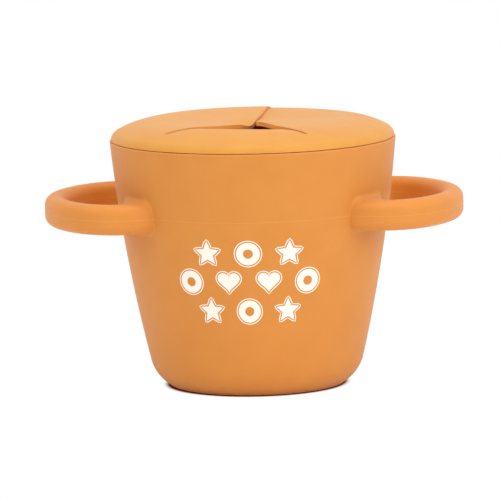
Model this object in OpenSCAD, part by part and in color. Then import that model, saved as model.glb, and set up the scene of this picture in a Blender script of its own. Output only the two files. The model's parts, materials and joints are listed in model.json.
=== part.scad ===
// Toddler snack container: a tapered silicone cup with two loop handles and a plug-in lid
// whose thin top is slit into three flaps. Millimetres, +Z up, origin at the centre of the base,
// handles along X, front towards -Y.

/* [Cup] */
// Height of the cup alone, from the base to the rim that the lid sits on
cup_h = 81.3; // [70:0.1:95]
// Outer radius at the rim
rim_r = 47; // [42:0.1:52]
// Radius of the flat that the cup stands on
foot_r = 27.8; // [24:0.1:31]
// Outer radius where the rounded heel meets the wall
heel_r = 35.1; // [34:0.1:37]
// Height at which the rounded heel meets the wall
heel_h = 8.9; // [8:0.1:11]
// How far the wall bows outward from a straight taper
wall_bow = 1.3; // [0.4:0.05:3]
// Wall thickness
wall_t = 2.6; // [2:0.1:3.2]
// Floor thickness
floor_t = 4; // [3:0.1:5]

/* [Handles] */
// Height of the handle's band
band_h = 9.9; // [8:0.1:12]
// Rounding of the band's long edges
band_round = 3.2; // [1:0.1:3.2]
// Height of the handles' middle, which is also the mould's parting line
handle_z = 58.8; // [50:0.1:62]
// Half of the angle that the tip's bend covers
tip_half_angle = 43; // [43, 48]
// Distance from the cup's axis to the flat side of the finger opening
opening_flat = 42.3; // [42, 42.3]
// Radius of the finger opening's corners beside the cup
opening_corner = 4; // [3.5, 4]

/* [Lid] */
// Height of the lid above the cup's rim
lid_h = 6.6; // [5:0.1:9]
// How far the lid's edge stands in from the rim
lid_inset = 0.4; // [0:0.05:0.8]
// Rounding of the lid's edge
edge_round = 3.3; // [2.8:0.1:4]
// Radius of the lid's flat top
flat_r = 30; // [28:0.5:31]
// Thickness of the flat top, which the flaps are cut from
web_t = 1.4; // [1:0.1:1.4]
// Thickness of the lid's shoulder
shoulder_t = 2.2; // [1.8:0.1:2.6]
// Depth of the plug skirt below the rim
skirt_h = 7.5; // [6:0.1:10]
// Thickness of the plug skirt
skirt_t = 1.9; // [1.5:0.1:2.4]
// Gap between the plug skirt and the inside of the cup
skirt_gap = 0.5; // [0.35:0.05:0.8]
// Gap between the sealing beads, drawn as squeezed, and the inside of the cup
bead_gap = 0.08; // [0.05:0.01:0.15]
// Angle that the lid is turned through on the cup
lid_turn = -8; // [-45:1:45]

/* [Flaps] */
// Distance from the lid's centre to the end of each slit
slit_reach = 40; // [37:0.5:41]
// Angle between each front slit and the lid's front line, at the slit's end
slit_angle = 35.8; // [30:0.1:50]
// Angle that each front slit bends through
slit_bend = 40; // [10:1:40]
// Width of the slits
slit_w = 0.4; // [0.3:0.05:0.6]
// Lean of the flaps' cut faces, which lets lifted flaps pass each other underneath
slit_lean = 15; // [12:1:20]
// Distance from the lid's centre to the ends of the hinge lines
hinge_reach = 34; // [34:0.5:35]
// Half of the gap between a flap and the lid at the top of its hinge line
hinge_gap = 0.2; // [0.15:0.05:0.3]
// Slope of each side of the groove under a hinge line, from upright
groove_angle = 36; // [30:1:40]
// How far the front flap droops
front_droop = 12; // [0:0.5:16]
// How far the left flap droops
left_droop = 9; // [0:0.5:14]
// How far the right flap droops
right_droop = 5; // [0:0.5:14]

/* [Hidden] */
$fn = 128;

// Plan of the handle's band. Its arcs meet the tapered wall cleanly at these four values only,
// so they are not among the sliders.
// Distance from the cup's axis to the outside of a handle's tip
handle_reach = 68.9;
// Width of the handle's band, seen from above
band_w = 7;
// Radius of the band's middle line round the tip
tip_bend = 37.5;
// Radius of the band's middle line round each shoulder
shoulder_bend = 17;

silicone = [0.89, 0.56, 0.26];
lid_silicone = [0.93, 0.62, 0.30];

// Steps along each drawn arc
fine = 8;
wall_steps = 14;
band_steps = 5;
// Lead of a cutting shape past the face that it cuts
past = 1;

// Rounding of the foot, and the slope at which it runs into the heel
foot_slope = 47;
foot_round = 2.2;
rim_round = 0.5;
inner_heel = 7;

// Points along a circle
function arc(centre, radius, from, to, steps) =
    [for (i = [0:steps]) let (a = from + (to - from) * i / steps)
        centre + radius * [cos(a), sin(a)]];

// Points from one place to another along an arc that bows to the right of the way by `bow`
function bowed(a, b, bow, steps) =
    let (way = b - a, span = norm(way), side = [way[1], -way[0]] / span,
         radius = (span * span / 4 + bow * bow) / (2 * bow),
         centre = (a + b) / 2 - side * (radius - bow))
    [for (i = [0:steps]) let (t = 2 * i / steps - 1, half = asin(span / 2 / radius),
        turn = half * t)
        centre + radius * (side * cos(turn) + way / span * sin(turn))];

// Where the foot's rounding ends and the heel's begins
foot_end = [foot_r + foot_round * sin(foot_slope), foot_round * (1 - cos(foot_slope))];
heel_end = [heel_r, heel_h];
heel_bow = 1;

outer_wall = bowed(heel_end, [rim_r, cup_h], wall_bow, wall_steps);
outer_side = concat(
    arc([foot_r, foot_round], foot_round, -90, foot_slope - 90, fine),
    [for (p = bowed(foot_end, heel_end, heel_bow, fine)) if (p[1] > foot_end[1]) p],
    [for (p = outer_wall) if (p[1] > heel_h + 0.01) p]);

// Outer radius of the wall at a height
function outer_r(z) = lookup(z, [for (p = outer_wall) [p[1], p[0]]]);
function inner_r(z) = outer_r(z) - wall_t;

// Inside of the wall from the rim down to the rounded corner over the floor
inner_corner = [inner_r(floor_t + inner_heel) - inner_heel, floor_t + inner_heel];
inner_side = concat(
    [for (i = [0:wall_steps])
        let (z = cup_h - rim_round - (cup_h - rim_round - inner_corner[1]) * i / wall_steps)
        [inner_r(z), z]],
    [for (p = arc(inner_corner, inner_heel, 0, -90, fine)) if (p[1] < inner_corner[1]) p]);

rim = concat(
    arc([outer_r(cup_h) - rim_round, cup_h - rim_round], rim_round, 0, 90, fine / 2),
    arc([inner_r(cup_h) + rim_round, cup_h - rim_round], rim_round, 90, 180, fine / 2));

module cup_outside() {
    rotate_extrude()
        polygon(concat([[0, 0]], outer_side, [[0, cup_h]]));
}

module cup() {
    color(silicone)
        rotate_extrude()
            polygon(concat(
                [[0, 0]],
                [for (p = outer_side) if (p[1] < cup_h - rim_round) p],
                rim, inner_side, [[0, floor_t]]));
}

// The handle's band in section: a tall bar with rounded edges
module band_section() {
    flat_w = band_w - 2 * band_round;
    flat_h = band_h - 2 * band_round;
    polygon([for (quarter = [0:3])
        let (x = (quarter == 0 || quarter == 3) ? 1 : -1, y = quarter < 2 ? 1 : -1,
             corner = [x * flat_w / 2, y * flat_h / 2], start = 90 * quarter)
        each arc(corner, band_round, start, start + 90, band_steps)]);
}

module bent_band(centre, bend, from, to) {
    translate([centre[0], centre[1], handle_z])
        rotate(from)
            rotate_extrude(angle = to - from)
                translate([bend, 0])
                    band_section();
}

tip_centre = [handle_reach - band_w / 2 - tip_bend, 0];
shoulder_centre = tip_centre
    + (tip_bend - shoulder_bend) * [cos(tip_half_angle), sin(tip_half_angle)];
// Angle round the shoulder at which the band has gone into the cup's wall
root_angle = 128;
// The finger opening's corner touches the inner side of the shoulder's bend
corner_x = opening_flat + opening_corner;
corner_offset = shoulder_bend - band_w / 2 - opening_corner;
corner_centre = [corner_x, shoulder_centre[1]
    + sqrt(pow(corner_offset, 2) - pow(corner_x - shoulder_centre[0], 2))];
corner_angle = atan2(corner_centre[1] - shoulder_centre[1], corner_x - shoulder_centre[0]);
corner_bend = opening_corner + band_w / 2;
// Nearest that the root's straight edge runs to the handle's middle line, inside the wall
root_inner_y = 8;

// The root's flat top and bottom, between the band's two edges
module root_web() {
    edge_x = corner_x - corner_bend;
    translate([0, 0, handle_z - band_h / 2])
        linear_extrude(band_h) {
            difference() {
                intersection() {
                    translate(shoulder_centre) circle(shoulder_bend);
                    translate([edge_x - band_w, corner_centre[1]])
                        square([corner_bend + band_w, shoulder_bend]);
                }
                translate(corner_centre) circle(corner_bend);
            }
            translate([edge_x - band_w, root_inner_y])
                square([band_w, corner_centre[1] - root_inner_y]);
        }
}

// One arm of the loop, with its root; `side` is 1 towards the back and -1 towards the front
module arm(side) {
    function span(a, b) = side > 0 ? [a, b] : [-b, -a];
    shoulder = span(tip_half_angle, root_angle);
    corner = span(corner_angle, 180);
    bent_band([shoulder_centre[0], side * shoulder_centre[1]], shoulder_bend, shoulder[0], shoulder[1]);
    bent_band([corner_centre[0], side * corner_centre[1]], corner_bend, corner[0], corner[1]);
    translate([corner_x - corner_bend, side > 0 ? corner_centre[1] : -root_inner_y, handle_z])
        rotate([90, 0, 0])
            linear_extrude(corner_centre[1] - root_inner_y)
                band_section();
    mirror([0, side > 0 ? 0 : 1, 0]) root_web();
}

module handle() {
    color(silicone)
        difference() {
            union() {
                bent_band(tip_centre, tip_bend, -tip_half_angle, tip_half_angle);
                arm(1);
                arm(-1);
            }
            cup_outside();
        }
}

module right_handle() {
    handle();
}

module left_handle() {
    mirror([1, 0, 0]) handle();
}

// Lid section, with heights measured from the rim
lid_r = rim_r - lid_inset;
// Crown: one arc from the flat top out to the edge's rounding, which it runs into smoothly
crown_run = lid_r - edge_round - flat_r;
// The edge's rounding touches the crown's circle from inside, which gives the crown's radius
crown_r = (pow(crown_run, 2) + pow(lid_h, 2) - pow(edge_round, 2)) / 2 / (lid_h - edge_round);
crown_centre = [flat_r, lid_h - crown_r];
edge_centre = [lid_r - edge_round, 0];
edge_angle = atan2(edge_centre[1] - crown_centre[1], edge_centre[0] - crown_centre[0]);

skirt_out = [for (z = [0, -skirt_h]) [inner_r(cup_h + z) - skirt_gap, z]];
skirt_tip = skirt_t / 2;
// Where the web's thin underside ends, and the run of its step down to the shoulder
thin_r = 34.5;
web_step = 1;
bead_r = 0.9;
bead_levels = [-2.4, -5];

// A sealing bead's rounded outside, from its lower to its upper side
function bead(z) =
    let (reach = inner_r(cup_h + z) - bead_gap, skirt = inner_r(cup_h + z) - skirt_gap,
         half = acos((skirt - reach + bead_r) / bead_r))
    arc([reach - bead_r, z], bead_r, -half, half, fine / 2);

module lid_section() {
    skirt_r = skirt_out[1][0];
    shoulder_in = crown_r - shoulder_t;
    // Angle at which the shoulder's underside begins, past the step down from the thin web
    start = acos((thin_r + web_step - crown_centre[0]) / shoulder_in);
    // Angle at which it reaches the inside of the skirt
    stop = acos((skirt_out[0][0] - skirt_t - crown_centre[0]) / shoulder_in);
    polygon(concat(
        [[0, lid_h - web_t], [0, lid_h]],
        arc(crown_centre, crown_r, 90, edge_angle, 2 * fine),
        [for (p = arc(edge_centre, edge_round, edge_angle, 0, fine)) if (p[0] > edge_centre[0]
            + edge_round * cos(edge_angle) + 0.001) p],
        [skirt_out[0]], bead_points(),
        arc([skirt_r - skirt_tip, -skirt_h], skirt_tip, 0, -180, fine),
        arc(crown_centre, shoulder_in, stop, start, fine),
        [[thin_r, lid_h - web_t]]));
}

function bead_points() = [for (z = bead_levels) for (i = [fine / 2:-1:0]) bead(z)[i]];

// Slits, drawn in the lid's own frame: front is -Y. Each front slit is an arc from the lid's centre.
slit_end = slit_reach * [sin(slit_angle), -cos(slit_angle)];
slit_r = slit_reach / 2 / sin(slit_bend / 2);
slit_centre = slit_end / 2
    + slit_r * cos(slit_bend / 2) * [cos(slit_angle), sin(slit_angle)];
// A hinge line's end on the front slit lies hinge_reach from the centre
hinge_turn = 2 * asin(hinge_reach / 2 / slit_r);
slit_start = atan2(-slit_centre[1], -slit_centre[0]);
right_corner = slit_centre + slit_r * [cos(slit_start + hinge_turn), sin(slit_start + hinge_turn)];
left_corner = [-right_corner[0], right_corner[1]];
back_corner = [0, hinge_reach];
tip_blunt = 1.2;

// Places the flat frame of a hinge line: X along it, +Y outward over the lid, Z up from the top
module along_hinge(a, b) {
    way = b - a;
    translate([a[0], a[1], cup_h + lid_h])
        rotate(atan2(way[1], way[0]))
            children();
}

// One side of the V groove under a hinge line; `side` is 1 on the flap and -1 on the lid
module groove_side(a, b, side, lead) {
    depth = web_t + past;
    along_hinge(a, b)
        translate([-lead, 0, 0])
            rotate([90, 0, 90])
                linear_extrude(norm(b - a) + 2 * lead)
                    polygon([
                        [side * hinge_gap, past], [side * hinge_gap, 0],
                        [side * (hinge_gap + depth * tan(groove_angle)), -depth],
                        [-side * past, -depth], [-side * past, past]]);
}

// Both front slits' circles, grown by half of the slit's width or shrunk by it
module slit_disc(grow) {
    translate(slit_centre) circle(slit_r + grow);
}

// The slits past the hinge lines' ends, where they run on into the lid
module slit_ends() {
    difference() {
        slit_disc(slit_w / 2);
        slit_disc(-slit_w / 2);
        translate([-past - slit_r, right_corner[1] + past / 2])
            square([4 * slit_r, 4 * slit_r]);
        translate([-4 * slit_r, -4 * slit_r]) square([4 * slit_r, 8 * slit_r]);
        translate([slit_end[0], -4 * slit_r]) square([4 * slit_r, 8 * slit_r]);
    }
}

module lid() {
    color(lid_silicone)
        rotate(lid_turn)
            difference() {
                translate([0, 0, cup_h])
                    rotate_extrude()
                        lid_section();
                translate([0, 0, cup_h + lid_h - web_t - past])
                    linear_extrude(web_t + 2 * past)
                        polygon([right_corner, back_corner, left_corner]);
                translate([0, 0, cup_h])
                    linear_extrude(lid_h + past) {
                        slit_ends();
                        mirror([1, 0]) slit_ends();
                        translate([-slit_w / 2, hinge_reach - past])
                            square([slit_w, slit_reach - hinge_reach + past]);
                    }
                groove_side(left_corner, right_corner, -1, 0);
                groove_side(right_corner, back_corner, -1, 0);
                groove_side(back_corner, left_corner, -1, 0);
            }
}

// Turns a flap down about its hinge line, whose outer side is on the right of the way a to b
module drooped(a, b, angle) {
    way = b - a;
    translate([a[0], a[1], cup_h + lid_h])
        rotate(angle, [way[0], way[1], 0])
            translate([-a[0], -a[1], -cup_h - lid_h])
                children();
}

// The whole web inside the hinge lines, before the slits part it
module web_plate() {
    translate([0, 0, cup_h + lid_h - web_t])
        linear_extrude(web_t)
            polygon([right_corner, back_corner, left_corner]);
}

// Cone whose side is a cut face along the right front slit; it widens downward for the front flap,
// with `side` 1, and narrows downward for the right flap, with `side` -1
module slit_cone(side) {
    translate([slit_centre[0], slit_centre[1], cup_h + lid_h - web_t - past])
        cylinder(
            h = web_t + 2 * past,
            r1 = slit_r + side * (slit_w / 2 + (web_t + past) * tan(slit_lean)),
            r2 = slit_r + side * (slit_w / 2 - past * tan(slit_lean)));
}

// Everything on the right of the back slit, with the same lean
module right_of_back_slit() {
    depth = web_t + past;
    translate([0, slit_reach, cup_h + lid_h])
        rotate([90, 0, 0])
            linear_extrude(2 * slit_reach)
                polygon([
                    [slit_w / 2 - past * tan(slit_lean), past],
                    [slit_w / 2 + depth * tan(slit_lean), -depth],
                    [slit_reach, -depth], [slit_reach, past]]);
}

module front_flap() {
    color(lid_silicone)
        rotate(lid_turn)
            drooped(left_corner, right_corner, -front_droop)
                difference() {
                    web_plate();
                    slit_cone(1);
                    mirror([1, 0, 0]) slit_cone(1);
                    translate([-slit_reach, -tip_blunt, cup_h])
                        cube([2 * slit_reach, 2 * slit_reach, lid_h + past]);
                    groove_side(left_corner, right_corner, 1, past);
                }
}

// The right flap, and by mirroring the left one
module side_flap(droop) {
    drooped(right_corner, back_corner, -droop)
        difference() {
            intersection() {
                web_plate();
                slit_cone(-1);
                right_of_back_slit();
            }
            groove_side(right_corner, back_corner, 1, past);
        }
}

module right_flap() {
    color(lid_silicone)
        rotate(lid_turn)
            side_flap(right_droop);
}

module left_flap() {
    color(lid_silicone)
        rotate(lid_turn)
            mirror([1, 0, 0])
                side_flap(left_droop);
}

cup();
left_handle();
right_handle();
lid();
front_flap();
left_flap();
right_flap();
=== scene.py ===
"""Looks of a toddler's silicone snack cup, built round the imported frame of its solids.

The cup with its two loop handles is one silicone moulding, and the lid with its three slit flaps another.
Lengths in the classes are millimetres in the frame's own axes; meshes are made in metres.
"""

import json
import logging
import math
from dataclasses import dataclass
from enum import Enum
from typing import Callable, Sequence

import bmesh
import bpy
import numpy as np
from mathutils import Matrix, Vector

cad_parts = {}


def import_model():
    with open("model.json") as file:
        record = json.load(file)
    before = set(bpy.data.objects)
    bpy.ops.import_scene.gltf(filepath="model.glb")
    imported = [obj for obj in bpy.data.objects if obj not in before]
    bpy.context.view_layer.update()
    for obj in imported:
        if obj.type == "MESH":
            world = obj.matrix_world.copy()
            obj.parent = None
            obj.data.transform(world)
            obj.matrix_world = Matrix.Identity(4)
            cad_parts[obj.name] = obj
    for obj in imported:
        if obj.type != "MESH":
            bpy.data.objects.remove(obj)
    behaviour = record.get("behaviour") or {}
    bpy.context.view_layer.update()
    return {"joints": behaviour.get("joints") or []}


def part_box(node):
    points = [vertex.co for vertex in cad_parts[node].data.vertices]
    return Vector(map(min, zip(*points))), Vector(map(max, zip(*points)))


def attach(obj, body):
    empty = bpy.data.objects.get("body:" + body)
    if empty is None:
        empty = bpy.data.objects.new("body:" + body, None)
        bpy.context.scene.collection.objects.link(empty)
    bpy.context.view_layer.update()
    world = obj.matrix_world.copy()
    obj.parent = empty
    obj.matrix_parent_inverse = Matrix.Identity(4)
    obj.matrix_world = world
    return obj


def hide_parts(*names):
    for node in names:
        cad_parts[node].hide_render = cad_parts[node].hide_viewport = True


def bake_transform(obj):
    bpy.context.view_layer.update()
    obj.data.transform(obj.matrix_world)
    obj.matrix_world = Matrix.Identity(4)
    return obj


LOG = logging.getLogger("snack_cup")
MM = 0.001
TINY = 1e-6
# Places nearer than this, in millimetres, are one
CLOSE = 1e-3

Points = np.ndarray
Faces = Sequence[Sequence[int]]
Field = Callable[[Points], Points]
Span = tuple[float, float]
Tree = bpy.types.NodeTree


# ---- nodes and materials


def srgb(code: str) -> tuple[float, float, float, float]:
    """Turns an sRGB hex colour into linear RGBA.

    Args:
        code: Six hex digits after a "#".

    Returns:
        Linear red, green, blue and an alpha of 1.
    """
    channels = [int(code[i : i + 2], 16) / 255 for i in (1, 3, 5)]
    linear = [c / 12.92 if c <= 0.04045 else ((c + 0.055) / 1.055) ** 2.4 for c in channels]
    return (*linear, 1.0)


def add_node(tree: Tree, kind: str, given: dict | None = None) -> bpy.types.Node:
    """Adds one node with its settings and links.

    Args:
        tree: The node tree that gets it.
        kind: The node's type name.
        given: Values, or sockets to link, by property name, input name or input number.

    Returns:
        The new node.
    """
    node = tree.nodes.new(kind)
    for key, value in (given or {}).items():
        if isinstance(value, bpy.types.NodeSocket):
            tree.links.new(value, node.inputs[key])
        elif isinstance(key, str) and hasattr(node, key):
            setattr(node, key, value)
        else:
            node.inputs[key].default_value = value
    return node


def new_material(name: str) -> tuple[bpy.types.Material, Tree, bpy.types.Node]:
    """Makes an empty node material.

    Args:
        name: The material's name.

    Returns:
        The material, its tree and its output node.
    """
    material = bpy.data.materials.new(name)
    material.use_nodes = True
    tree = material.node_tree
    tree.nodes.clear()
    return material, tree, tree.nodes.new("ShaderNodeOutputMaterial")


@dataclass(frozen=True)
class SoftTouchSilicone:
    """Liquid silicone rubber moulded in a bead-blasted tool.

    The blasted skin scatters light, so it is matte, with a pale bloom where it turns away from the eye.
    """

    name: str
    colour: str
    mottle_colour: str
    roughness: float = 0.52
    ior: float = 1.41
    bloom: float = 0.22
    bloom_roughness: float = 0.45
    bloom_tint: str = "#FFE9D6"
    grain_mm: float = 0.25
    grain_depth_mm: float = 0.012
    mottle_mm: float = 9.0
    mottle_span: Span = (0.35, 0.7)
    # Lint caught on the skin: one point in some cells, about a sixth of a millimetre across
    speck_mm: float = 7.0
    speck_span: Span = (0.012, 0.022)
    speck_share: float = 0.55
    speck_colour: str = "#B9672A"
    # Share of the light that soaks through the soft wall, and its colour on the far side
    soak: float = 0.17
    soak_colour: str = "#F4801E"

    def material(self) -> bpy.types.Material:
        """Builds the finish as nodes.

        Returns:
            The material.
        """
        material, tree, output = new_material(self.name)
        place = add_node(tree, "ShaderNodeTexCoord").outputs["Object"]
        mottle = add_node(
            tree, "ShaderNodeTexNoise",
            {"Scale": 1 / (self.mottle_mm * MM), "Detail": 3.0, "Roughness": 0.55, "Vector": place},
        )
        low, high = self.mottle_span
        spread = add_node(
            tree, "ShaderNodeMapRange", {"From Min": low, "From Max": high, "Value": mottle.outputs["Fac"]}
        )
        cloud = add_node(
            tree, "ShaderNodeMix",
            {
                "data_type": "RGBA", 0: spread.outputs["Result"],
                6: srgb(self.colour), 7: srgb(self.mottle_colour),
            },
        )
        cells = add_node(
            tree, "ShaderNodeTexVoronoi",
            {"Scale": 1 / (self.speck_mm * MM), "Randomness": 1.0, "Vector": place},
        )
        near, far = self.speck_span
        speck = add_node(
            tree, "ShaderNodeMapRange",
            {
                "From Min": near, "From Max": far, "To Min": self.speck_share, "To Max": 0.0,
                "Value": cells.outputs["Distance"],
            },
        )
        colour = add_node(
            tree, "ShaderNodeMix",
            {
                "data_type": "RGBA", 0: speck.outputs["Result"],
                6: cloud.outputs[2], 7: srgb(self.speck_colour),
            },
        )
        grain = add_node(
            tree, "ShaderNodeTexNoise",
            {"Scale": 1 / (self.grain_mm * MM), "Detail": 2.0, "Roughness": 0.6, "Vector": place},
        )
        relief = add_node(
            tree, "ShaderNodeBump",
            {"Strength": 1.0, "Distance": self.grain_depth_mm * MM, "Height": grain.outputs["Fac"]},
        )
        shader = add_node(
            tree, "ShaderNodeBsdfPrincipled",
            {
                "Roughness": self.roughness,
                "IOR": self.ior,
                "Sheen Weight": self.bloom,
                "Sheen Roughness": self.bloom_roughness,
                "Sheen Tint": srgb(self.bloom_tint),
                "Base Color": colour.outputs[2],
                "Normal": relief.outputs["Normal"],
            },
        )
        soaked = add_node(tree, "ShaderNodeBsdfTranslucent", {"Color": srgb(self.soak_colour)})
        skin = add_node(
            tree, "ShaderNodeMixShader",
            {0: self.soak, 1: shader.outputs["BSDF"], 2: soaked.outputs["BSDF"]},
        )
        tree.links.new(skin.outputs[0], output.inputs["Surface"])
        return material


@dataclass(frozen=True)
class SiliconeInk:
    """Screen-printed white silicone ink: dense, smooth and a little glossier than the skin under it."""

    name: str
    colour: str = "#FBF7F0"
    thin_colour: str = "#F1E3D2"
    roughness: float = 0.42
    ior: float = 1.43
    mesh_mm: float = 0.35
    relief_mm: float = 0.01
    relief_strength: float = 0.6

    def material(self) -> bpy.types.Material:
        """Builds the finish as nodes.

        Returns:
            The material.
        """
        material, tree, output = new_material(self.name)
        place = add_node(tree, "ShaderNodeTexCoord").outputs["Object"]
        cover = add_node(
            tree, "ShaderNodeTexNoise", {"Scale": 1 / (self.mesh_mm * MM), "Detail": 2.0, "Vector": place}
        ).outputs["Fac"]
        tone = add_node(
            tree, "ShaderNodeMix",
            {"data_type": "RGBA", 0: cover, 6: srgb(self.thin_colour), 7: srgb(self.colour)},
        )
        relief = add_node(
            tree, "ShaderNodeBump",
            {"Strength": self.relief_strength, "Distance": self.relief_mm * MM, "Height": cover},
        )
        shader = add_node(
            tree, "ShaderNodeBsdfPrincipled",
            {
                "Roughness": self.roughness,
                "IOR": self.ior,
                "Base Color": tone.outputs[2],
                "Normal": relief.outputs["Normal"],
            },
        )
        tree.links.new(shader.outputs["BSDF"], output.inputs["Surface"])
        return material


# ---- meshes


def mesh_object(name: str, points: Points, faces: Faces, material: bpy.types.Material) -> bpy.types.Object:
    """Makes a smooth-shaded mesh object at the origin.

    Args:
        name: The piece's name.
        points: Vertices in millimetres, one a row.
        faces: Vertex numbers of each face, anticlockwise from outside.
        material: The piece's material.

    Returns:
        The new object, linked to the scene.
    """
    mesh = bpy.data.meshes.new(name)
    mesh.from_pydata((np.asarray(points, float) * MM).tolist(), [], [list(map(int, f)) for f in faces])
    mesh.materials.append(material)
    mesh.polygons.foreach_set("use_smooth", [True] * len(mesh.polygons))
    mesh.update()
    return linked(bpy.data.objects.new(name, mesh))


def linked(piece: bpy.types.Object) -> bpy.types.Object:
    """Links an object to the scene."""
    bpy.context.scene.collection.objects.link(piece)
    return piece


def vertex_places(piece: bpy.types.Object) -> Points:
    """A piece's vertices in millimetres."""
    return np.array([v.co for v in piece.data.vertices]) / MM


def arc(centre: Sequence[float], radius: float, start: float, stop: float, steps: int) -> Points:
    """Points along a circle, with its angles in degrees."""
    angles = np.radians(np.linspace(start, stop, steps + 1))
    return np.asarray(centre, float) + radius * np.stack([np.cos(angles), np.sin(angles)], axis=1)


def around(count: int) -> Points:
    """Unit vectors evenly round a circle."""
    angles = 2 * math.pi * np.arange(count) / count
    return np.stack([np.cos(angles), np.sin(angles)], axis=1)


def smooth_step(value: Points | float, low: float, high: float) -> Points:
    """Rises smoothly from 0 at low to 1 at high."""
    t = np.clip((np.asarray(value, float) - low) / (high - low), 0, 1)
    return t * t * (3 - 2 * t)


def turned(points: Points, degrees: float) -> Points:
    """Turns points about the upright axis.

    Args:
        points: Places or directions, one a row.
        degrees: The turn, anticlockwise from above.

    Returns:
        The turned points.
    """
    angle = math.radians(degrees)
    c, s = math.cos(angle), math.sin(angle)
    out = np.array(points, float)
    out[..., 0] = c * points[..., 0] - s * points[..., 1]
    out[..., 1] = s * points[..., 0] + c * points[..., 1]
    return out


def revolve(profile: Points, segments: int) -> tuple[Points, Faces]:
    """Spins a closed outline round the upright axis.

    Args:
        profile: Radius and height of each corner, anticlockwise with the axis on its left.
        segments: Steps round the axis.

    Returns:
        Vertices and outward faces. Corners on the axis become single vertices.
    """
    points: list[list[float]] = []
    rings: list[list[int]] = []
    ways = around(segments)
    for radius, height in profile:
        first = len(points)
        if radius < TINY:
            points.append([0.0, 0.0, height])
            rings.append([first] * segments)
        else:
            points += [[radius * x, radius * y, height] for x, y in ways]
            rings.append(list(range(first, first + segments)))
    faces = []
    for ring, following in zip(rings, rings[1:] + rings[:1]):
        for i in range(segments):
            j = (i + 1) % segments
            corners = list(dict.fromkeys([ring[i], ring[j], following[j], following[i]]))
            if len(corners) > 2:
                faces.append(corners)
    return np.array(points), faces


def gradient(distance: Field, points: Points, step: float = 0.02) -> Points:
    """Unit gradient of a distance field.

    Args:
        distance: The field.
        points: Where it is wanted.
        step: Half the spacing of the samples.

    Returns:
        One unit vector a row.
    """
    shifts = step * np.eye(3)
    slope = np.stack([distance(points + s) - distance(points - s) for s in shifts], axis=1)
    return slope / np.maximum(np.linalg.norm(slope, axis=1, keepdims=True), TINY)


def surface_net(
    distance: Field, low: Sequence[float], high: Sequence[float], cell: float, rounds: int = 3
) -> tuple[Points, Points]:
    """Covers the zero surface of a distance field with four-sided faces.

    Args:
        distance: The field, negative inside.
        low: Lowest corner of the region.
        high: Highest corner of the region.
        cell: Edge of the grid's cells.
        rounds: How often the points are evened out.

    Returns:
        Vertices on the surface and outward faces.
    """
    axes = [np.arange(a, b + cell, cell) for a, b in zip(low, high)]
    grid = np.stack(np.meshgrid(*axes, indexing="ij"), axis=-1)
    inside = (distance(grid.reshape(-1, 3)) < 0).reshape(grid.shape[:3])
    ends = (slice(None, -1), slice(1, None))
    count = sum(inside[i, j, k].astype(int) for i in ends for j in ends for k in ends)
    active = (count > 0) & (count < 8)
    number = -np.ones(active.shape, int)
    number[active] = np.arange(active.sum())
    points = grid[:-1, :-1, :-1][active] + cell / 2
    faces = []
    for axis in range(3):
        across, up = [a for a in range(3) if a != axis]
        first = np.moveaxis(inside, (axis, across, up), (0, 1, 2))
        cells = np.moveaxis(number, (axis, across, up), (0, 1, 2))
        here, there = first[:-1, 1:-1, 1:-1], first[1:, 1:-1, 1:-1]
        quads = np.stack(
            [cells[:, :-1, :-1], cells[:, 1:, :-1], cells[:, 1:, 1:], cells[:, :-1, 1:]], axis=-1
        )
        flip = axis == 1
        for crossed, turn in ((here & ~there, flip), (~here & there, not flip)):
            found = quads[crossed]
            faces.append(found[:, ::-1] if turn else found)
    quads = np.concatenate(faces)
    quads = quads[(quads >= 0).all(axis=1)]
    for _ in range(rounds):
        points = relax(settle(distance, points), quads)
    return settle(distance, points), quads


def settle(distance: Field, points: Points, rounds: int = 3) -> Points:
    """Moves points onto the zero surface along the field's gradient.

    Args:
        distance: The field.
        points: Places near its zero surface.
        rounds: How often they are moved.

    Returns:
        Places on it.
    """
    for _ in range(rounds):
        points = points - distance(points)[:, None] * gradient(distance, points)
    return points


def relax(points: Points, quads: Points) -> Points:
    """Evens out a mesh.

    Args:
        points: Its vertices.
        quads: Its four-sided faces.

    Returns:
        Each vertex, moved half way to the middle of its neighbours.
    """
    total, count = np.zeros_like(points), np.zeros(len(points))
    for a, b in ((0, 1), (1, 2), (2, 3), (3, 0)):
        for here, there in ((a, b), (b, a)):
            np.add.at(total, quads[:, here], points[quads[:, there]])
            np.add.at(count, quads[:, here], 1)
    mean = total / np.maximum(count, 1)[:, None]
    return np.where(count[:, None] > 0, (points + mean) / 2, points)


# ---- the cup


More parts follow.
